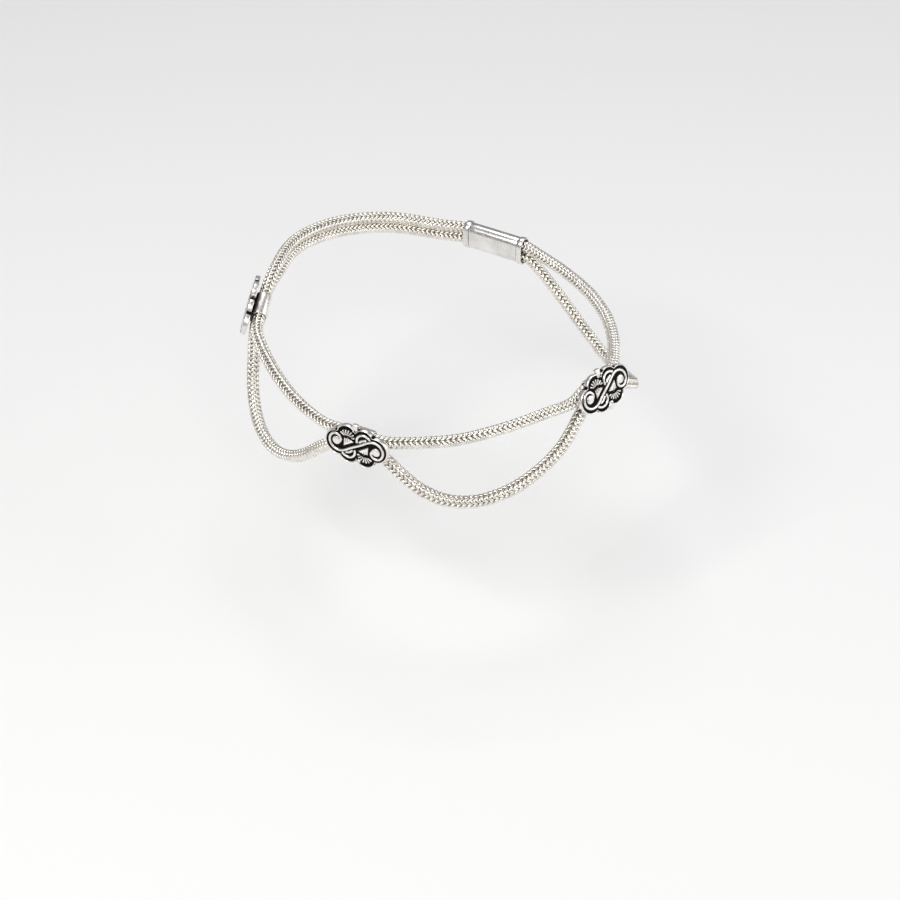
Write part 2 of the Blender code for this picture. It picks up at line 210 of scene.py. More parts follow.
# Half of the clasp's section, from the floor of its pocket out through the mouth and back
# over the collar to the middle: depth from the clasp's end, and radius
CLASP_RADIUS = TUNNEL_BORE + TUNNEL_WALL
CLASP_SECTION = (
    (CLASP_POCKET, 0.0), (CLASP_POCKET, TUNNEL_BORE - 0.05),
    (CLASP_POCKET - 0.05, TUNNEL_BORE), (0.12, TUNNEL_BORE), (0.03, TUNNEL_BORE + 0.04),
    (0.0, TUNNEL_BORE + 0.13), (0.0, CLASP_RADIUS + 0.12), (0.04, CLASP_RADIUS + 0.2),
    (0.13, CLASP_RADIUS + 0.25), (1.07, CLASP_RADIUS + 0.25), (1.16, CLASP_RADIUS + 0.2),
    (1.2, CLASP_RADIUS + 0.12), (1.23, CLASP_RADIUS - 0.02), (1.32, CLASP_RADIUS - 0.06),
    (1.42, CLASP_RADIUS - 0.02), (1.5, CLASP_RADIUS), (3.0, CLASP_RADIUS + 0.02),
    (6.9, CLASP_RADIUS + 0.03),
)
# How far under its surface its recesses start, and the heights for the oxide in them and out
CLASP_SUNK, CLASP_DEEP_HEIGHT, CLASP_HEIGHT = 0.03, 0.1, 0.9

# Finishes. level: the height under which the dark colour stays, oxide in recesses and painted
# shade between the cords' wires and behind the sliders' plates. softness, unevenness: of its end.
# dark_roughness: under the dark colour. grain: scale of the wear's pattern. bump: its depth.
FINISHES = {
    "knitted_silver": dict(level=0.32, softness=0.5, unevenness=0.25, roughness=0.26,
                           dark_roughness=0.5, grain=1500.0, bump=0.02),
    # Its soft end is partly painted shade: the relief's slopes turn grey towards the oxide in the
    # channels.
    "cast_silver": dict(level=0.56, softness=0.5, unevenness=0.25, roughness=0.27,
                        dark_roughness=0.5, grain=900.0, bump=0.03),
    "plain_silver": dict(level=0.5, softness=0.4, unevenness=0.3, roughness=0.2,
                         dark_roughness=0.45, grain=700.0, bump=0.015),
}
SMUDGE_TONE, SMUDGE_ROUGHNESS = 0.82, 0.08  # colour's share and added roughness in a smudge
SCRATCH_ROUGHNESS, SCRATCH_DEPTH = 0.15, -0.6
BUMP_STRENGTH = 0.35

# Picture
CAMERA_PLACE = (-265.7, -343.3, 284.6)
CAMERA_AIM = (-4.9, -13.2, -21.0)
CAMERA_LENS, CAMERA_SENSOR = 96.7, 36.0
CAMERA_CLIP = 10.0
FLOOR_HALF = 2000.0
# Soft lights that point at the origin: place, side, share of the power, colour
LIGHTS = {
    "key_light": ((-500, -50, 550), 300, 0.7, (1.0, 0.98, 0.95)),
    "top_light": ((150, 250, 750), 450, 0.5, (1.0, 1.0, 1.0)),
    "front_light": ((-400, -650, 620), 400, 0.55, (1.0, 0.99, 0.97)),
    "fill_light": ((450, -550, 300), 500, 0.62, (1.0, 0.99, 0.98)),
}
SKY_COLOR, SKY_STRENGTH = (0.78, 0.80, 0.84, 1.0), 0.35


def oval_radius(bearing, height):
    """Distance of the oval from its widest place."""
    angle = math.radians(bearing)
    forward, sideways = -math.sin(angle), math.cos(angle)
    if forward > 0:
        half = FRONT_HALF + FRONT_SLOPE * height + FRONT_SPREAD * height * height
    else:
        half = BACK_HALF
    side = SIDE_HALF + SIDE_SLOPE * height
    reach = abs(forward / half) ** SQUARENESS + abs(sideways / side) ** SQUARENESS
    return reach ** (-1 / SQUARENESS)


def oval_point(bearing, height, clear):
    """The place at a bearing and a height that is clear of the oval."""
    angle = math.radians(bearing)
    reach = oval_radius(bearing, height) + clear
    return Vector((reach * math.cos(angle), WIDEST_Y + reach * math.sin(angle), height))


def oval_normals(points):
    """The level outward direction of the oval at each point, as rows of an array."""
    x, y = points[:, 0], points[:, 1] - WIDEST_Y
    half = np.where(y < 0, FRONT_HALF, BACK_HALF)
    power = SQUARENESS - 1
    slope_x = np.sign(x) * np.abs(x / SIDE_HALF) ** power / SIDE_HALF
    slope_y = np.sign(y) * np.abs(y / half) ** power / half
    return unit_rows(np.stack([slope_x, slope_y, np.zeros_like(x)], axis=1))


def unit_rows(rows):
    """Each row of an array as a unit vector."""
    return rows / np.linalg.norm(rows, axis=1, keepdims=True)


def pose_matrix(pose):
    """Local x along the cords, y across them and z outwards, in millimetres."""
    facing, lean, roll = (math.radians(pose[key]) for key in ("facing", "lean", "roll"))
    outward = Vector((
        math.cos(lean) * math.cos(facing), math.cos(lean) * math.sin(facing), math.sin(lean)
    ))
    level = Vector((-math.sin(facing), math.cos(facing), 0.0))
    along = math.cos(roll) * level + math.sin(roll) * outward.cross(level)
    turn = Matrix((along, outward.cross(along), outward)).transposed().to_4x4()
    return Matrix.Translation(oval_point(pose["bearing"], pose["height"], pose["clear"])) @ turn


def smooth_points(points, longest):
    """A Catmull-Rom curve through the points, cut where a step would exceed longest."""
    ends = [2 * points[0] - points[1], *points, 2 * points[-1] - points[-2]]
    curve = [points[0]]
    for before, start, stop, after in zip(ends, ends[1:], ends[2:], ends[3:]):
        # Chords' square roots space the curve's parameter, so that it can't loop.
        gaps = [math.sqrt((b - a).length) for a, b in
                ((before, start), (start, stop), (stop, after))]
        leave = ((start - before) / gaps[0] - (stop - before) / (gaps[0] + gaps[1])
                 + (stop - start) / gaps[1]) * gaps[1]
        arrive = ((stop - start) / gaps[1] - (after - start) / (gaps[1] + gaps[2])
                  + (after - stop) / gaps[2]) * gaps[1]
        pieces = max(1, math.ceil((stop - start).length / longest))
        for index in range(1, pieces + 1):
            t = index / pieces
            curve.append(
                (2 * t**3 - 3 * t**2 + 1) * start + (t**3 - 2 * t**2 + t) * leave
                + (3 * t**2 - 2 * t**3) * stop + (t**3 - t**2) * arrive
            )
    return curve


def cord_route(routes, side):
    """Every point of a cord from one pocket of the clasp round to the other."""
    poses = {"clasp": CLASP, **SLIDERS}
    straight = TUNNEL_LENGTH / 2 + MOUTH_STRAIGHT
    clasp_end = CLASP_LENGTH / 2

    def held(name, places):
        pose = pose_matrix(poses[name])
        return [pose @ Vector((x, side * CORD_APART, 0.0)) for x in places]

    points = []
    for (start, stop), rows in routes.items():
        leave, arrive = (0.0, straight), (-straight,)
        if start == "clasp":
            leave = (clasp_end - CORD_IN_POCKET, clasp_end, clasp_end + MOUTH_STRAIGHT)
        if stop == "clasp":
            arrive = (-clasp_end - MOUTH_STRAIGHT, -clasp_end, CORD_IN_POCKET - clasp_end)
        points += held(start, leave)
        points += [oval_point(*row) for row in rows]
        points += held(stop, arrive)
    return np.array(smooth_points(points, CURVE_STEP))


def wrapped_grid(points, closed=False):
    """A bmesh grid whose rows are laid through rings of points and joined at their seam.

    points holds one ring per row. The rings at both ends meet in a point each or, when
    closed, the last ring is joined to the first.
    """
    if closed:
        points = np.concatenate([points, points[:1]])
    points = np.concatenate([points, points[:, :1]], axis=1)
    rows, columns = points.shape[:2]
    shape = bmesh.new()
    bmesh.ops.create_grid(shape, x_segments=columns - 1, y_segments=rows - 1, size=1.0)
    for vert in shape.verts:
        column = round((vert.co.x + 1) / 2 * (columns - 1))
        row = round((vert.co.y + 1) / 2 * (rows - 1))
        vert.co = points[row, column]
    bmesh.ops.remove_doubles(shape, verts=shape.verts, dist=WELD)
    bmesh.ops.recalc_face_normals(shape, faces=shape.faces)
    return shape


def add_to(shape, other, place=None):
    """Adds a bmesh to another one, at a place, and frees it."""
    if place is not None:
        bmesh.ops.transform(other, matrix=place, verts=other.verts)
    mesh = bpy.data.meshes.new("part")
    other.to_mesh(mesh)
    other.free()
    shape.from_mesh(mesh)
    bpy.data.meshes.remove(mesh)


def mesh_points(mesh):
    """The places of a mesh's points, as rows of an array."""
    flat = np.empty(len(mesh.vertices) * 3, np.float32)
    mesh.vertices.foreach_get("co", flat)
    return flat.reshape(-1, 3).astype(float)


def set_points(mesh, points):
    """Moves a mesh's points to the rows of an array."""
    mesh.vertices.foreach_set("co", np.ascontiguousarray(points, np.float32).reshape(-1))
    mesh.update()


def set_height(mesh, heights):
    """Stores how far each point stands out of its recess, 0 to 1, for the oxide and the painted
    shade.
    """
    attribute = mesh.attributes.new("height", "FLOAT", "POINT")
    attribute.data.foreach_set("value", np.clip(heights, 0, 1).astype(np.float32))


def add_piece(name, mesh, finish, node):
    """Links the mesh as a piece with the given finish, in place of the CAD node that it hides."""
    mesh.name = name
    mesh.materials.clear()
    mesh.materials.append(finish)
    mesh.shade_smooth()
    piece = bpy.data.objects.new(name, mesh)
    bpy.context.scene.collection.objects.link(piece)
    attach(piece, "root")
    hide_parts(node)


# Knitted cords


def loop_mesh(radius):
    """One knitted loop at the origin, a round wire along its two legs."""
    leg = [Vector(point) for point in LOOP_LEG]
    other = [Vector((-point.x, point.y, point.z)) for point in leg[:0:-1]]
    middle = np.array(other + leg)
    along = unit_rows(np.gradient(middle, axis=0))
    outward = np.tile((0.0, 0.0, 1.0), (len(middle), 1))
    side = unit_rows(np.cross(along, outward))
    up = np.cross(side, along)
    angles = np.linspace(0, 2 * math.pi, WIRE_SIDES, endpoint=False)
    rings = (middle[:, None]
             + radius * np.cos(angles)[None, :, None] * side[:, None]
             + radius * np.sin(angles)[None, :, None] * up[:, None])
    caps = np.repeat(middle[[0, -1], None], WIRE_SIDES, axis=1)
    return wrapped_grid(np.concatenate([caps[:1], rings, caps[1:]]))


def straight_knit(length, pitch, radius, tips_forward):
    """A straight cord along x: rows of four loops, repeated by an Array modifier."""
    rows = round(length / pitch)
    pitch = length / rows
    forward = -1.0 if tips_forward else 1.0
    # A loop's across, along and out become the cord's y, x and z.
    lay = Matrix(((0, forward, 0, 0), (1, 0, 0, 0), (0, 0, 1, 0), (0, 0, 0, 1)))
    row = bmesh.new()
    for face in range(4):
        shift = Matrix.Translation((pitch / 2 * (face % 2), 0, 0))
        turn = Matrix.Rotation(math.pi / 2 * face, 4, "X")
        add_to(row, loop_mesh(radius), shift @ turn @ lay)
    bmesh.ops.recalc_face_normals(row, faces=row.faces)
    mesh = bpy.data.meshes.new("row")
    row.to_mesh(mesh)
    row.free()
    holder = bpy.data.objects.new("row", mesh)
    bpy.context.scene.collection.objects.link(holder)
    array = holder.modifiers.new("rows", "ARRAY")
    array.use_relative_offset = False
    array.use_constant_offset = True
    array.constant_offset_displace = (pitch, 0, 0)
    array.count = rows
    bpy.context.view_layer.update()
    result = bpy.data.meshes.new_from_object(
        holder.evaluated_get(bpy.context.evaluated_depsgraph_get()))
    bpy.data.objects.remove(holder)
    bpy.data.meshes.remove(mesh)
    return result


def laid_along(points, line, turns):
    """Points of a straight cord along x, laid along a line with the given turn."""
    steps = np.linalg.norm(np.diff(line, axis=0), axis=1)
    travel = np.concatenate([[0], np.cumsum(steps)])
    along = unit_rows(np.gradient(line, axis=0))
    outward = oval_normals(line)
    outward -= (outward * along).sum(axis=1, keepdims=True) * along
    outward = unit_rows(outward)
    upward = np.cross(outward, along)
    place = np.clip(points[:, 0], 0, travel[-1])

    def at(values):
        return np.stack([np.interp(place, travel, values[:, axis]) for axis in range(3)], axis=1)

    turn = np.radians(np.interp(place / travel[-1], *zip(*turns)))[:, None]
    out = at(outward) * np.cos(turn) + at(upward) * np.sin(turn)
    up = at(upward) * np.cos(turn) - at(outward) * np.sin(turn)
    return at(line) + points[:, 2:3] * out + points[:, 1:2] * up


def cord_mesh(routes, side, turns, tips_forward, settings):
    """A knitted cord along its route, with the height of each point above its core."""
    line = cord_route(routes, side)
    length = np.linalg.norm(np.diff(line, axis=0), axis=1).sum()
    mesh = straight_knit(
        length, settings.loop_pitch / MM, settings.wire_radius / MM, tips_forward)
    straight = mesh_points(mesh)
    # Low heights take the painted shade colour: the dark deep between the wires.
    heights = (np.hypot(straight[:, 1], straight[:, 2]) - KNIT_DEEP) / KNIT_RISE
    set_points(mesh, laid_along(straight, line, turns) * MM)

    stations = np.arange(0, length, CORE_STEP)
    angles = np.linspace(0, 2 * math.pi, CORE_SIDES, endpoint=False)
    core = np.empty((len(stations), CORE_SIDES, 3))
    core[:, :, 0] = stations[:, None]
    core[:, :, 1] = CORE_RADIUS * np.cos(angles)
    core[:, :, 2] = CORE_RADIUS * np.sin(angles)
    laid = laid_along(core.reshape(-1, 3), line, turns).reshape(core.shape)
    middles = np.repeat(laid.mean(axis=1, keepdims=True), CORE_SIDES, axis=1)
    shape = wrapped_grid(np.concatenate([middles[:1], laid, middles[-1:]]))
    bmesh.ops.scale(shape, vec=(MM, MM, MM), verts=shape.verts)
    core_count = len(shape.verts)
    whole = bmesh.new()
    whole.from_mesh(mesh)
    add_to(whole, shape)
    whole.to_mesh(mesh)
    whole.free()
    # The core takes height 0 and is wholly painted shade, the dark seen between the wires.
    set_height(mesh, np.concatenate([heights, np.zeros(core_count)]))
    return mesh


# Cast sliders


def outline_distance(x, y):
    """Distance outside the channel that follows the plate's outline."""
    nearest = np.hypot(x, y) - MIDDLE_DISC
    for middle_x, middle_y, radius in OUTLINE_DISCS:
        for way in (1, -1):
            disc = np.hypot(x - way * middle_x, y - way * middle_y) - radius
            nearest = np.minimum(nearest, disc)
    return nearest


def outline_reach(angles):
    """How far the plate's outer edge lies from its middle, at each angle."""
    reach = np.zeros_like(angles)
    across, up = np.cos(angles), np.sin(angles)
    for middle_x, middle_y, radius in OUTLINE_DISCS:
        radius = radius + CHANNEL_HALF + RIM_WIDTH
        for way in (1, -1):
            near = way * (middle_x * across + middle_y * up)
            gap = radius**2 - (middle_x**2 + middle_y**2 - near**2)
            exit_reach = near + np.sqrt(np.maximum(gap, 0))
            reach = np.maximum(reach, np.where(gap > 0, exit_reach, 0))
    return reach


def line_distance(x, y, points):
    """Distance from a smooth line through points."""
    line = smooth_points([Vector((*point, 0)) for point in points], CURVE_STEP)
    line = np.array(line)[:, :2]
    nearest = np.full(x.shape, np.inf)
    for start, stop in zip(line, line[1:]):
        run = stop - start
        share = ((x - start[0]) * run[0] + (y - start[1]) * run[1]) / (run @ run)
        share = np.clip(share, 0, 1)
        gap = np.hypot(x - start[0] - share * run[0], y - start[1] - share * run[1])
        nearest = np.minimum(nearest, gap)
    return nearest


def inside_polygon(x, y, points):
    """Distance inside a convex polygon with straight sides, negative outside it."""
    depth = np.full(x.shape, np.inf)
    for (x0, y0), (x1, y1) in zip(points, points[1:] + points[:1]):
        run = math.hypot(x1 - x0, y1 - y0)
        depth = np.minimum(depth, ((x - x0) * (y1 - y0) - (y - y0) * (x1 - x0)) / run)
    return depth


def ridge(distance, half, power=2.6):
    """A rounded ridge of height 1 with steep sides."""
    return np.sqrt(np.clip(1 - (distance / half) ** power, 0, 1))


def shell_height(x, y):
    """The fan of ribs that makes a shell."""
    x, y = x - SHELL_HEART[0], y - SHELL_HEART[1]
    inner, outer = SHELL_REACH
    ribs = np.zeros(x.shape)
    for bearing in SHELL_BEARINGS:
        angle = math.radians(bearing)
        along = x * math.cos(angle) + y * math.sin(angle)
        aside = y * math.cos(angle) - x * math.sin(angle)
        past = np.maximum(np.maximum(inner - along, along - outer + RIB_ROUND), 0)
        half = RIB_HALF + RIB_SPREAD * np.clip(along, 0, None)
        ribs = np.maximum(ribs, ridge(np.hypot(aside / half, past / RIB_END), 1, 2))
    return SHELL_TOP * ribs


def petal_height(x, y):
    """A flat petal with a few shallow veins."""
    inside = np.clip(inside_polygon(x, y, PETAL) / PETAL_EDGE, 0, 1) ** PETAL_CROWN
    from_side = (x - PETAL[0][0]) / VEIN_APART
    vein = np.clip(1 - np.abs(from_side - np.round(from_side)) / VEIN_HALF, 0, 1)
    vein *= np.clip((y - VEIN_FOOT - VEIN_STEP * from_side) / VEIN_FADE, 0, 1)
    return inside * (PETAL_TOP - VEIN_DEPTH * vein)


def relief_height(x, y):
    """Height of the relief over the channels' floor, as a share of RELIEF."""
    outer = outline_distance(x, y)
    from_channel = np.clip((outer - CHANNEL_HALF) / RIM_INSIDE, 0, 1)
    to_edge = np.clip((CHANNEL_HALF + RIM_WIDTH - outer) / RIM_OUTSIDE, 0, 1)
    height = np.sqrt(from_channel) * np.sqrt(1 - (1 - to_edge) ** 2)
    for way in (1, -1):
        across, up = way * x, way * y
        figures = (
            ridge(line_distance(across, up, SCROLL), SCROLL_HALF),
            BOSS_TOP * ridge(np.hypot(across - BOSS[0], up - BOSS[1]), BOSS[2], 4),
            ridge(line_distance(across, up, WAVE_ARC), WAVE_HALF),
            LEAF_TOP * ridge(line_distance(across, up, WAVE_LEAF), LEAF_HALF),
            petal_height(across, up),
            shell_height(across, up) * np.clip(
                (line_distance(across, up, SHELL_GROOVE) - GROOVE_HALF) / GROOVE_EDGE, 0, 1),
        )
        for figure in figures:
            height = np.maximum(height, figure)
    return height


def plate_shape():
    """The cast plate, closed by its side and back, round its own middle."""
    fine = np.linspace(0, 2 * math.pi, OUTLINE_POINTS)
    edge = outline_reach(fine)[:, None] * np.stack([np.cos(fine), np.sin(fine)], axis=1)
    travel = np.concatenate([[0], np.cumsum(np.linalg.norm(np.diff(edge, axis=0), axis=1))])
    marks = np.linspace(0, travel[-1], SPOKES, endpoint=False)
    edge = np.stack([np.interp(marks, travel, edge[:, axis]) for axis in (0, 1)], axis=1)

    shares = np.linspace(0, 1, RINGS)
    x, y = shares[:, None] * edge[:, 0], shares[:, None] * edge[:, 1]
    heights = relief_height(x, y)
    front = np.stack([x, y, CHANNEL_FLOOR + RELIEF * heights], axis=2)
    side = [np.stack([*(edge.T * inset), np.full(SPOKES, PLATE_BACK + level)], axis=1)
            for inset, level in PLATE_SIDE]
    points = np.concatenate([front, np.array(side)])
    points[:, :, 2] += domed(points)
    return wrapped_grid(points)


def racetrack_rings(stations):
    """Rings of two half circles, one round each cord, for stations of x and radius."""
    half = np.linspace(-math.pi / 2, math.pi / 2, HALF_CIRCLE_POINTS)
    angles = np.concatenate([half, half + math.pi])
    middles = np.repeat([CORD_APART, -CORD_APART], len(half))
    return np.array([
        np.stack([np.full(len(angles), x), middles + radius * np.cos(angles),
                  radius * np.sin(angles)], axis=1)
        for x, radius in stations
    ])


def tunnel_shape():
    """The flattened tube behind a plate, open at both ends, with rounded mouths."""
    middle, thick = TUNNEL_BORE + TUNNEL_WALL / 2, TUNNEL_WALL / 2
    end = TUNNEL_LENGTH / 2 - thick
    stations = []
    for way, first in ((1, 90), (-1, -90)):
        for angle in np.radians(np.linspace(first, first - 180, MOUTH_POINTS)):
            stations.append((way * end + thick * math.cos(angle),
                             middle + thick * math.sin(angle)))
    return wrapped_grid(racetrack_rings(stations), closed=True)


def rounded_box(size, middle, rounding):
    """A box with round edges."""
    shape = bmesh.new()
    bmesh.ops.create_cube(shape, size=1.0)
    bmesh.ops.scale(shape, vec=size, verts=shape.verts)
    bmesh.ops.bevel(shape, geom=shape.edges, offset=rounding, offset_type="OFFSET",
                    segments=4, profile=0.5, affect="EDGES", material=-1)
    bmesh.ops.translate(shape, vec=middle, verts=shape.verts)
    return shape


def tab_shape():
    """A small rounded tab that stands out from under the rim."""
    top = CHANNEL_FLOOR + RELIEF * TAB_TOP
    middle = (*TAB_MIDDLE, (top + PLATE_BACK) / 2)
    return rounded_box((*TAB_SIZE, top - PLATE_BACK), middle, TAB_ROUNDING)


def neck_shape():
    """The short block of solder between the tunnel and the plate."""
    middle = (0.0, 0.0, PLATE_BACK + NECK_IN_PLATE - NECK_SIZE[2] / 2)
    return rounded_box(NECK_SIZE, middle, NECK_ROUNDING)


def domed(points):
    """How far the plate's dome lifts each point."""
    lift, ends, tops = DOME
    across, up = points[..., 0] / PLATE_HALF[0], points[..., 1] / PLATE_HALF[1]
    return lift - ends * across**2 - tops * up**2


def notch_gap(x, y):
    """How much further the second nearest lobe of the outline is than the nearest."""
    gaps = [np.hypot(x - way * disc[0], y - way * disc[1]) - disc[2]
            for disc in OUTLINE_DISCS for way in (1, -1)]
    nearest = np.sort(np.array(gaps), axis=0)
    return nearest[1] - nearest[0]


def plate_heights(points):
    """Heights on the plate: for the oxide on its front and side, darker beside the tabs, and for
    the painted shade on its back.
    """
    x, y = points[:, 0], points[:, 1]
    level = points[:, 2] - domed(points)
    front = (level - CHANNEL_FLOOR) / RELIEF
    # Beside each tab the side is made darker.
    beside_tab = np.abs(np.where(y > 0, x, -x) - TAB_NOTCH)
    side = np.minimum((notch_gap(x, y) - NOTCH_DEEP) / NOTCH_FADE,
                      (beside_tab - TAB_NOTCH_HALF) / TAB_NOTCH_FADE)
    # The back's middle is painted shade, between the plate and the tunnel.
    back = np.clip((np.abs(x) - BACK_PAINTED_SHADE_HALF) / BACK_PAINTED_SHADE_FADE, SHADED_HEIGHT, BACK_HEIGHT)
    at_edge = outline_distance(x, y) > CHANNEL_HALF + RIM_WIDTH - SIDE_BAND
    in_front = level > (PLATE_BACK + CHANNEL_FLOOR) / 2
    return np.where(at_edge, np.clip(side, 0, 1), np.where(in_front, front, back))


def tunnel_heights(points):
    """Heights on the tunnel: painted shade on the strip behind the plate, bright elsewhere."""
    return np.clip((TUNNEL_PAINTED_SHADE - points[:, 2]) / TUNNEL_PAINTED_SHADE_FADE, SHADED_HEIGHT, 1)


def slider_mesh():
    """Plate, tabs, neck and tunnel in the pose's own space, with their heights for the oxide and
    the painted shade.
    """
    raised = Matrix.Translation((0.0, PLATE_RAISE, 0.0))
    half_turn = Matrix.Rotation(math.pi, 4, "Z")
    parts = (
        (plate_shape(), raised, plate_heights),
        (tab_shape(), raised, TAB_HEIGHT),
        (tab_shape(), raised @ half_turn, TAB_HEIGHT),
        (neck_shape(), None, NECK_SHADE_HEIGHT),
        (tunnel_shape(), None, tunnel_heights),
    )
    whole, heights = bmesh.new(), []
    for shape, place, height in parts:
        if callable(height):
            heights.append(height(np.array([vert.co for vert in shape.verts])))
        else:
            heights.append(np.full(len(shape.verts), height))
        add_to(whole, shape, place)
    mesh = bpy.data.meshes.new("slider")
    whole.to_mesh(mesh)
    whole.free()
    set_height(mesh, np.concatenate(heights))
    return mesh


# Clasp


def clasp_mesh():
    """A flattened barrel with a collar and a pocket for both cords at each end."""
    half = [(CLASP_LENGTH / 2 - depth, radius) for depth, radius in CLASP_SECTION]
    rings = racetrack_rings(half + [(-x, radius) for x, radius in reversed(half)])
    rings[[0, -1], :, 1] = 0.0  # closes the pockets' floors
    shape = wrapped_grid(rings)
    mesh = bpy.data.meshes.new("clasp")
    shape.to_mesh(mesh)
    shape.free()
    points = mesh_points(mesh)
    from_axis = np.hypot(np.maximum(np.abs(points[:, 1]) - CORD_APART, 0), points[:, 2])
    sunk = from_axis < CLASP_RADIUS - CLASP_SUNK
    set_height(mesh, np.where(sunk, CLASP_DEEP_HEIGHT, CLASP_HEIGHT))
    return mesh


# Finishes


def node_of(tree, kind, place, **inputs):
    """A node with the given values on its sockets."""
    made = tree.nodes.new(kind)
    made.location = place
    for name, value in inputs.items():
        made.inputs[name.replace("_", " ")].default_value = value
    return made


def math_of(tree, operation, place, first, second, clamp=False):
    """The output of a Math node on two numbers or sockets."""
    made = tree.nodes.new("ShaderNodeMath")
    made.operation = operation
    made.use_clamp = clamp
    made.location = place
    for socket, value in zip(made.inputs, (first, second)):
        if isinstance(value, bpy.types.NodeSocket):
            tree.links.new(value, socket)
        else:
            socket.default_value = value
    return made.outputs["Value"]


def range_of(tree, place, value, low, high, to_low=0.0, to_high=1.0):
    """The output of a smooth Map Range node."""
    made = tree.nodes.new("ShaderNodeMapRange")
    made.interpolation_type = "SMOOTHSTEP"
    made.location = place
    tree.links.new(value, made.inputs["Value"])
    for name, number in (("From Min", low), ("From Max", high),
                         ("To Min", to_low), ("To Max", to_high)):
        made.inputs[name].default_value = number
    return made.outputs["Result"]


def new_group(name, inputs, outputs):
    """A shader node group with named sockets, and its input and output nodes."""
    group = bpy.data.node_groups.new(name, "ShaderNodeTree")
    for label, kind, default in inputs:
        socket = group.interface.new_socket(name=label, in_out="INPUT", socket_type=kind)
        if default is not None:
            socket.default_value = default
    for label, kind in outputs:
        group.interface.new_socket(name=label, in_out="OUTPUT", socket_type=kind)
    start = group.nodes.new("NodeGroupInput")
    start.location = (-900, 0)
    stop = group.nodes.new("NodeGroupOutput")
    stop.location = (700, 0)
    return group, start, stop


def oxide_and_shade_group():
    """Where the dark colour stays: oxide in recesses and painted shade, with an edge that is
    rubbed unevenly.
    """
    group, start, stop = new_group(
        "recess_oxide_and_shade",
        (("Vector", "NodeSocketVector", None), ("Height", "NodeSocketFloat", 1.0),
         ("Level", "NodeSocketFloat", 0.4), ("Softness", "NodeSocketFloat", 0.2),
         ("Unevenness", "NodeSocketFloat", 0.3), ("Scale", "NodeSocketFloat", 900.0)),
        (("Bright", "NodeSocketFloat"),),
    )
    noise = node_of(group, "ShaderNodeTexNoise", (-650, -150), Detail=4.0, Roughness=0.6)
    group.links.new(start.outputs["Vector"], noise.inputs["Vector"])
    group.links.new(start.outputs["Scale"], noise.inputs["Scale"])
    swing = math_of(group, "SUBTRACT", (-450, -150), noise.outputs["Fac"], 0.5)
    swing = math_of(group, "MULTIPLY", (-250, -150), swing, start.outputs["Unevenness"])
    over = math_of(group, "SUBTRACT", (-450, 50), start.outputs["Height"], start.outputs["Level"])
    over = math_of(group, "ADD", (-50, 0), over, swing)
    over = math_of(group, "DIVIDE", (150, 0), over, start.outputs["Softness"])
    bright = range_of(group, (350, 0), over, -0.5, 0.5)
    group.links.new(bright, stop.inputs["Bright"])
    return group


def handling_group():
    """Wear from being worn: fine scratches in two directions and dull smudges."""
    group, start, stop = new_group(
        "handling_wear",
        (("Vector", "NodeSocketVector", None), ("Scale", "NodeSocketFloat", 1000.0)),
        (("Scratches", "NodeSocketFloat"), ("Smudge", "NodeSocketFloat"),
         ("Grain", "NodeSocketFloat")),
    )
    lines = []
    for index, (turn, stretch) in enumerate(((0.5, 0.04), (-0.9, 0.06))):
        mapping = node_of(group, "ShaderNodeMapping", (-650, 200 - 260 * index))
        mapping.inputs["Rotation"].default_value = (turn, 0.6, turn * 1.7)
        mapping.inputs["Scale"].default_value = (1.0, stretch, 1.0)
        group.links.new(start.outputs["Vector"], mapping.inputs["Vector"])
        noise = node_of(group, "ShaderNodeTexNoise", (-450, 200 - 260 * index), Detail=2.0)
        group.links.new(mapping.outputs["Vector"], noise.inputs["Vector"])
        scale = math_of(group, "MULTIPLY", (-650, 60 - 260 * index), start.outputs["Scale"], 3.0)
        group.links.new(scale, noise.inputs["Scale"])
        lines.append(range_of(group, (-250, 200 - 260 * index), noise.outputs["Fac"], 0.62, 0.7))
    scratches = math_of(group, "MAXIMUM", (0, 100), lines[0], lines[1])
    smudge = node_of(group, "ShaderNodeTexNoise", (-450, -350), Detail=3.0)
    group.links.new(start.outputs["Vector"], smudge.inputs["Vector"])
    scale = math_of(group, "MULTIPLY", (-650, -350), start.outputs["Scale"], 0.3)
    group.links.new(scale, smudge.inputs["Scale"])
    grain = node_of(group, "ShaderNodeTexNoise", (-450, -600), Detail=3.0, Roughness=0.65)
    group.links.new(start.outputs["Vector"], grain.inputs["Vector"])
    scale = math_of(group, "MULTIPLY", (-650, -600), start.outputs["Scale"], 8.0)
    group.links.new(scale, grain.inputs["Scale"])
    group.links.new(scratches, stop.inputs["Scratches"])
    group.links.new(range_of(group, (0, -350), smudge.outputs["Fac"], 0.35, 0.7),
                    stop.inputs["Smudge"])
    group.links.new(grain.outputs["Fac"], stop.inputs["Grain"])
    return group


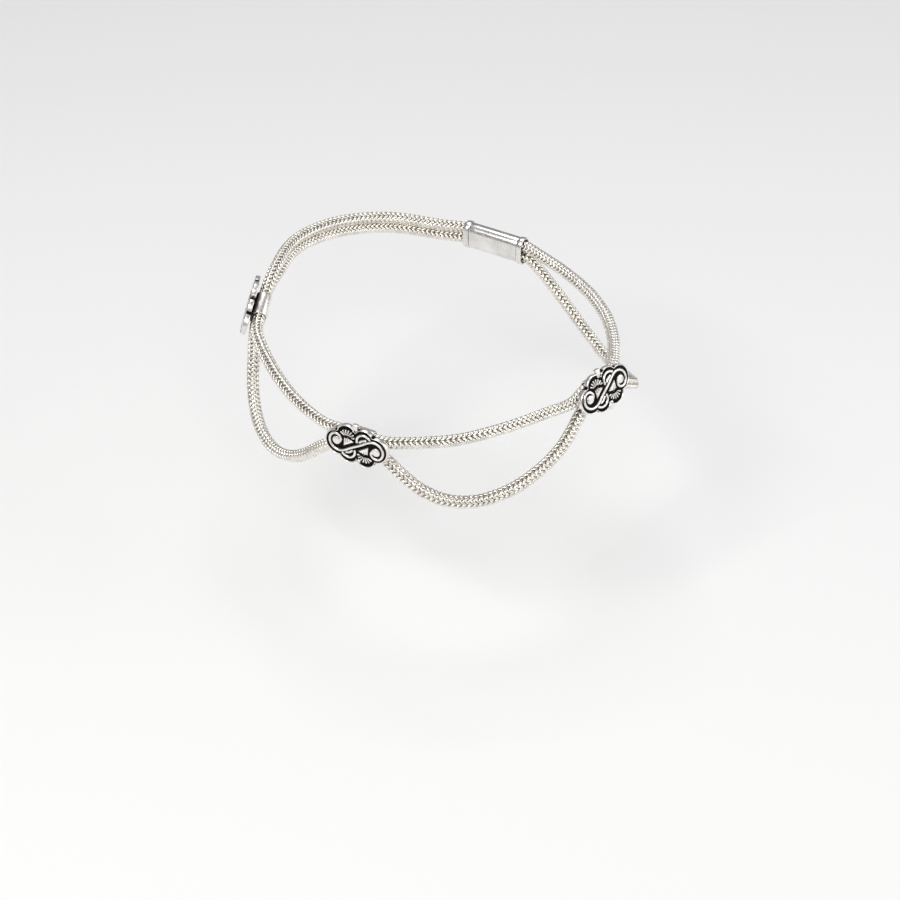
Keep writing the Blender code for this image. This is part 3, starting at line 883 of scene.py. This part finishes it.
def silver_finish(name, bright, dark):
    """Worn silver whose recesses keep dark oxide and whose shaded places take painted shade, with
    the values of its row in FINISHES.
    """
    values = FINISHES[name]
    groups = shared_groups()
    made = bpy.data.materials.new(name)
    made.use_nodes = True
    made.diffuse_color = (*bright, 1.0)
    tree = made.node_tree
    shader = tree.nodes["Principled BSDF"]
    shader.inputs["Metallic"].default_value = 1.0
    links = tree.links
    place = tree.nodes.new("ShaderNodeTexCoord")
    place.location = (-1100, 0)
    height = tree.nodes.new("ShaderNodeAttribute")
    height.attribute_name = "height"
    height.location = (-1100, -250)
    # This group sets where oxide and painted shade darken the colour.
    oxide = tree.nodes.new("ShaderNodeGroup")
    oxide.node_tree = groups["recess_oxide_and_shade"]
    oxide.location = (-850, -150)
    wear = tree.nodes.new("ShaderNodeGroup")
    wear.node_tree = groups["handling_wear"]
    wear.location = (-850, 250)
    links.new(place.outputs["Object"], oxide.inputs["Vector"])
    links.new(place.outputs["Object"], wear.inputs["Vector"])
    links.new(height.outputs["Fac"], oxide.inputs["Height"])
    for label in ("Level", "Softness", "Unevenness"):
        oxide.inputs[label].default_value = values[label.lower()]
    wear.inputs["Scale"].default_value = values["grain"]

    tone = tree.nodes.new("ShaderNodeMix")
    tone.data_type = "RGBA"
    tone.location = (-500, 300)
    tone.inputs["A"].default_value = (*bright, 1.0)
    tone.inputs["B"].default_value = (*(SMUDGE_TONE * part for part in bright), 1.0)
    links.new(wear.outputs["Smudge"], tone.inputs["Factor"])
    color = tree.nodes.new("ShaderNodeMix")
    color.data_type = "RGBA"
    color.location = (-250, 200)
    color.inputs["A"].default_value = (*dark, 1.0)
    links.new(tone.outputs["Result"], color.inputs["B"])
    links.new(oxide.outputs["Bright"], color.inputs["Factor"])
    links.new(color.outputs["Result"], shader.inputs["Base Color"])

    base = range_of(tree, (-500, -150), oxide.outputs["Bright"], 0.0, 1.0,
                    values["dark_roughness"], values["roughness"])
    dulled = math_of(tree, "MULTIPLY", (-500, -300), wear.outputs["Smudge"], SMUDGE_ROUGHNESS)
    rough = math_of(tree, "ADD", (-250, -200), base, dulled)
    scuffed = math_of(
        tree, "MULTIPLY", (-500, -450), wear.outputs["Scratches"], SCRATCH_ROUGHNESS)
    rough = math_of(tree, "ADD", (-100, -250), rough, scuffed, clamp=True)
    links.new(rough, shader.inputs["Roughness"])
    scratched = math_of(tree, "MULTIPLY", (-500, -600), wear.outputs["Scratches"], SCRATCH_DEPTH)
    total = math_of(tree, "ADD", (-300, -500), wear.outputs["Grain"], scratched)
    relief = node_of(tree, "ShaderNodeBump", (-100, -500), Strength=BUMP_STRENGTH,
                     Distance=values["bump"] * MM)
    links.new(total, relief.inputs["Height"])
    links.new(relief.outputs["Normal"], shader.inputs["Normal"])
    return made


def floor_finish(color):
    """Plain pale paper with a faint grain."""
    made = bpy.data.materials.new("pale_floor")
    made.use_nodes = True
    tree = made.node_tree
    shader = tree.nodes["Principled BSDF"]
    shader.inputs["Base Color"].default_value = (*color, 1.0)
    shader.inputs["Roughness"].default_value = 0.9
    place = tree.nodes.new("ShaderNodeTexCoord")
    grain = node_of(tree, "ShaderNodeTexNoise", (-400, -200), Scale=900.0, Detail=3.0)
    tree.links.new(place.outputs["Object"], grain.inputs["Vector"])
    relief = node_of(tree, "ShaderNodeBump", (-200, -200), Strength=0.08, Distance=0.0002)
    tree.links.new(grain.outputs["Fac"], relief.inputs["Height"])
    tree.links.new(relief.outputs["Normal"], shader.inputs["Normal"])
    return made


def shared_groups():
    """The effects that every finish uses, built once."""
    made = {}
    for name, build in (("recess_oxide_and_shade", oxide_and_shade_group), ("handling_wear", handling_group)):
        made[name] = bpy.data.node_groups.get(name) or build()
    return made


# Settings and operators


class CordSettings(bpy.types.PropertyGroup):
    wire_radius: bpy.props.FloatProperty(
        name="Wire radius", description="Half the thickness of one knitted wire",
        default=0.30 * MM, min=0.1 * MM, max=0.5 * MM, precision=6, unit="LENGTH")
    loop_pitch: bpy.props.FloatProperty(
        name="Loop pitch", description="Distance from one row of loops to the next",
        default=1.07 * MM, min=0.6 * MM, max=2 * MM, precision=6, unit="LENGTH")
    silver: bpy.props.FloatVectorProperty(
        name="Silver", description="Colour of the wires", subtype="COLOR", size=3,
        default=(0.96, 0.92, 0.85), min=0, max=1)
    # Shade is the colour of the painted shade deep between the wires and on the core.
    shade: bpy.props.FloatVectorProperty(
        name="Shade", description="Colour deep between the wires", subtype="COLOR", size=3,
        default=(0.42, 0.36, 0.30), min=0, max=1)


class SliderSettings(bpy.types.PropertyGroup):
    silver: bpy.props.FloatVectorProperty(
        name="Silver", description="Colour of the raised metal", subtype="COLOR", size=3,
        default=(0.97, 0.94, 0.91), min=0, max=1)
    # The oxide colour also serves as the painted shade behind the plate.
    oxide: bpy.props.FloatVectorProperty(
        name="Oxide", description="Colour of the channels", subtype="COLOR", size=3,
        default=(0.012, 0.011, 0.011), min=0, max=1)


class ClaspSettings(bpy.types.PropertyGroup):
    silver: bpy.props.FloatVectorProperty(
        name="Silver", description="Colour of the clasp", subtype="COLOR", size=3,
        default=(0.88, 0.86, 0.83), min=0, max=1)
    oxide: bpy.props.FloatVectorProperty(
        name="Oxide", description="Colour inside the clasp's pockets", subtype="COLOR", size=3,
        default=(0.12, 0.11, 0.10), min=0, max=1)


class StageSettings(bpy.types.PropertyGroup):
    floor_level: bpy.props.FloatProperty(
        name="Floor level", description="Height of the floor under the origin",
        default=-48 * MM, precision=4, unit="LENGTH")
    floor_color: bpy.props.FloatVectorProperty(
        name="Floor", description="Colour of the floor", subtype="COLOR", size=3,
        default=(0.93, 0.93, 0.925), min=0, max=1)
    light_power: bpy.props.FloatProperty(
        name="Power", description="Power that the soft lights take their shares of", default=3.35,
        min=0, unit="POWER")


class AnkletSettings(bpy.types.PropertyGroup):
    cords: bpy.props.PointerProperty(type=CordSettings)
    sliders: bpy.props.PointerProperty(type=SliderSettings)
    clasp: bpy.props.PointerProperty(type=ClaspSettings)
    stage: bpy.props.PointerProperty(type=StageSettings)


class ANKLET_OT_cords(bpy.types.Operator):
    """Knit both cords along their routes"""

    bl_idname = "anklet.cords"
    bl_label = "Knitted Cords"

    def execute(self, context):
        settings = context.scene.anklet.cords
        finish = silver_finish("knitted_silver", settings.silver, settings.shade)
        for node, routes, side, turns, forward in (
            ("upper_cord", UPPER_ROUTE, 1, UPPER_TURN, False),
            ("lower_cord", LOWER_ROUTE, -1, LOWER_TURN, True),
        ):
            mesh = cord_mesh(routes, side, turns, forward, settings)
            add_piece(f"knitted_{node}", mesh, finish, node)
        return {"FINISHED"}


class ANKLET_OT_sliders(bpy.types.Operator):
    """Cast the three scroll sliders"""

    bl_idname = "anklet.sliders"
    bl_label = "Scroll Sliders"

    def execute(self, context):
        settings = context.scene.anklet.sliders
        finish = silver_finish("cast_silver", settings.silver, settings.oxide)
        model = slider_mesh()
        for node, pose in SLIDERS.items():
            mesh = model.copy()
            mesh.transform(Matrix.Scale(MM, 4) @ pose_matrix(pose))
            add_piece(f"cast_{node}", mesh, finish, node)
        bpy.data.meshes.remove(model)
        return {"FINISHED"}


class ANKLET_OT_clasp(bpy.types.Operator):
    """Turn the clasp that joins the cords' ends"""

    bl_idname = "anklet.clasp"
    bl_label = "Clasp"

    def execute(self, context):
        settings = context.scene.anklet.clasp
        finish = silver_finish("plain_silver", settings.silver, settings.oxide)
        mesh = clasp_mesh()
        mesh.transform(Matrix.Scale(MM, 4) @ pose_matrix(CLASP))
        add_piece("barrel_clasp", mesh, finish, "clasp")
        return {"FINISHED"}


class ANKLET_OT_stage(bpy.types.Operator):
    """Set the floor, the lights and the camera"""

    bl_idname = "anklet.stage"
    bl_label = "Floor, Light and Camera"

    def execute(self, context):
        settings = context.scene.anklet.stage
        scene = context.scene
        shape = bmesh.new()
        bmesh.ops.create_grid(shape, x_segments=8, y_segments=8, size=FLOOR_HALF * MM)
        bmesh.ops.translate(shape, vec=(0, 0, settings.floor_level), verts=shape.verts)
        mesh = bpy.data.meshes.new("floor")
        shape.to_mesh(mesh)
        shape.free()
        mesh.materials.append(floor_finish(settings.floor_color))
        floor = bpy.data.objects.new("floor", mesh)
        scene.collection.objects.link(floor)

        for name, (place, side, share, color) in LIGHTS.items():
            data = bpy.data.lights.new(name, "AREA")
            data.shape = "SQUARE"
            data.size = side * MM
            data.energy = settings.light_power * share
            data.color = color
            light = bpy.data.objects.new(name, data)
            light.location = Vector(place) * MM
            light.rotation_euler = (-Vector(place)).to_track_quat("-Z", "Y").to_euler()
            scene.collection.objects.link(light)

        world = bpy.data.worlds.new("studio")
        world.use_nodes = True
        background = world.node_tree.nodes["Background"]
        background.inputs["Color"].default_value = SKY_COLOR
        background.inputs["Strength"].default_value = SKY_STRENGTH
        scene.world = world

        data = bpy.data.cameras.new("camera")
        data.lens = CAMERA_LENS
        data.sensor_width = CAMERA_SENSOR
        data.clip_start = CAMERA_CLIP * MM
        camera = bpy.data.objects.new("camera", data)
        camera.location = Vector(CAMERA_PLACE) * MM
        sight = Vector(CAMERA_AIM) - Vector(CAMERA_PLACE)
        camera.rotation_euler = sight.to_track_quat("-Z", "Y").to_euler()
        scene.collection.objects.link(camera)
        scene.camera = camera
        scene.view_settings.view_transform = "Standard"
        return {"FINISHED"}


class ANKLET_PT_panel(bpy.types.Panel):
    """Every operator, over its settings"""

    bl_label = "Anklet"
    bl_idname = "ANKLET_PT_panel"
    bl_space_type = "VIEW_3D"
    bl_region_type = "UI"
    bl_category = "Anklet"

    def draw(self, context):
        settings = context.scene.anklet
        for operator, group in (
            ("anklet.cords", settings.cords), ("anklet.sliders", settings.sliders),
            ("anklet.clasp", settings.clasp), ("anklet.stage", settings.stage),
        ):
            box = self.layout.box()
            box.operator(operator)
            for name in group.__annotations__:
                box.prop(group, name)


CLASSES = (
    CordSettings, SliderSettings, ClaspSettings, StageSettings, AnkletSettings,
    ANKLET_OT_cords, ANKLET_OT_sliders, ANKLET_OT_clasp, ANKLET_OT_stage, ANKLET_PT_panel,
)


def register():
    for cls in CLASSES:
        bpy.utils.register_class(cls)
    bpy.types.Scene.anklet = bpy.props.PointerProperty(type=AnkletSettings)


def unregister():
    del bpy.types.Scene.anklet
    for cls in reversed(CLASSES):
        bpy.utils.unregister_class(cls)


def main():
    register()
    bpy.ops.anklet.cords()
    bpy.ops.anklet.sliders()
    bpy.ops.anklet.clasp()
    bpy.ops.anklet.stage()


if __name__ == "__main__":
    main()
